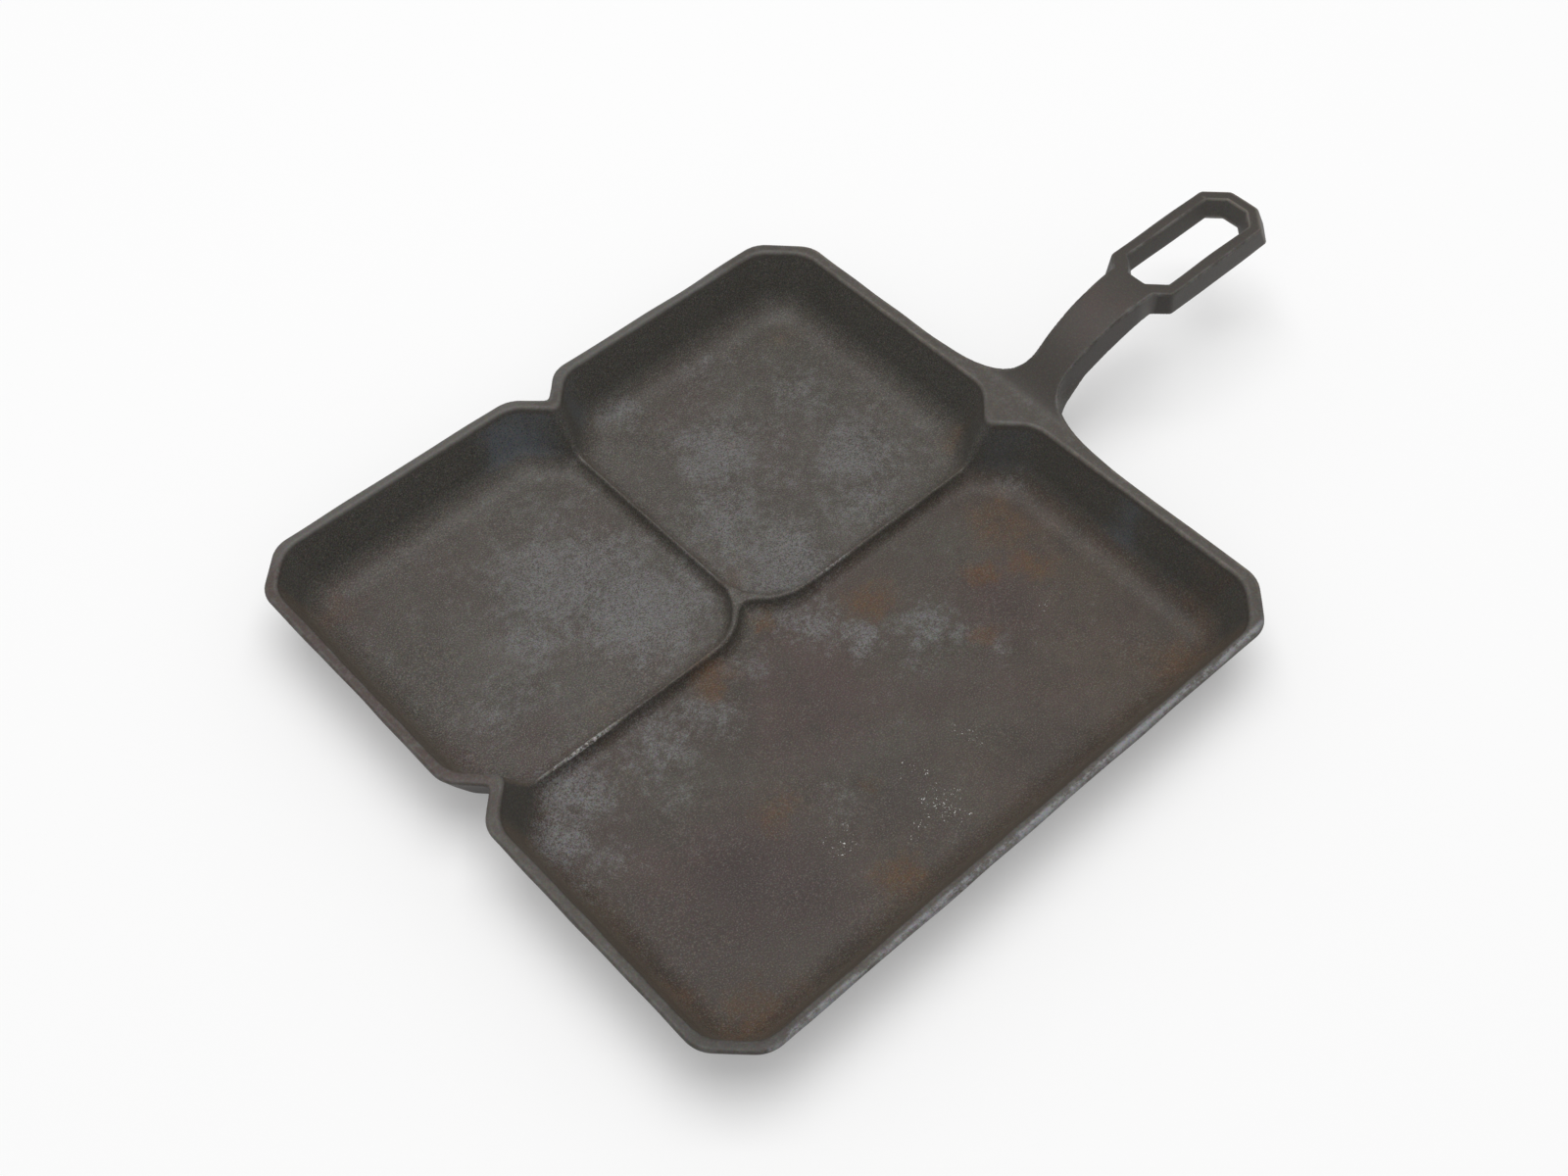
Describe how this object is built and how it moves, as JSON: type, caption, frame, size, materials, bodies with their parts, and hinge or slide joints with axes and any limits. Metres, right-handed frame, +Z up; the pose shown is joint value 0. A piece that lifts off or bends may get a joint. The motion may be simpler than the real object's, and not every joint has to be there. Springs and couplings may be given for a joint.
{
  "type": "divided breakfast skillet",
  "caption": "Square cast-iron skillet divided by low ridges into a large tray and smaller egg trays, with notched rim corners and a raised handle ending in a slotted loop.",
  "frame": {"origin": "middle of the flat base, on the surface that the skillet stands on", "axes": "+X along the long divider towards the handle, +Y from the large tray towards the egg trays, +Z up"},
  "size_m": [0.3637, 0.24, 0.0455],
  "materials": {
    "seasoned_iron": "sand-cast grain under worn brown-black seasoning, with pale rubbed patches and traces of rust"
  },
  "bodies": {
    "root": {"large_tray": "seasoned_iron", "far_egg_tray": "seasoned_iron", "near_egg_tray": "seasoned_iron", "long_divider": "seasoned_iron", "short_divider": "seasoned_iron", "handle_root": "seasoned_iron", "handle_arm": "seasoned_iron", "handle_loop": "seasoned_iron"}
  },
  "joints": []
}
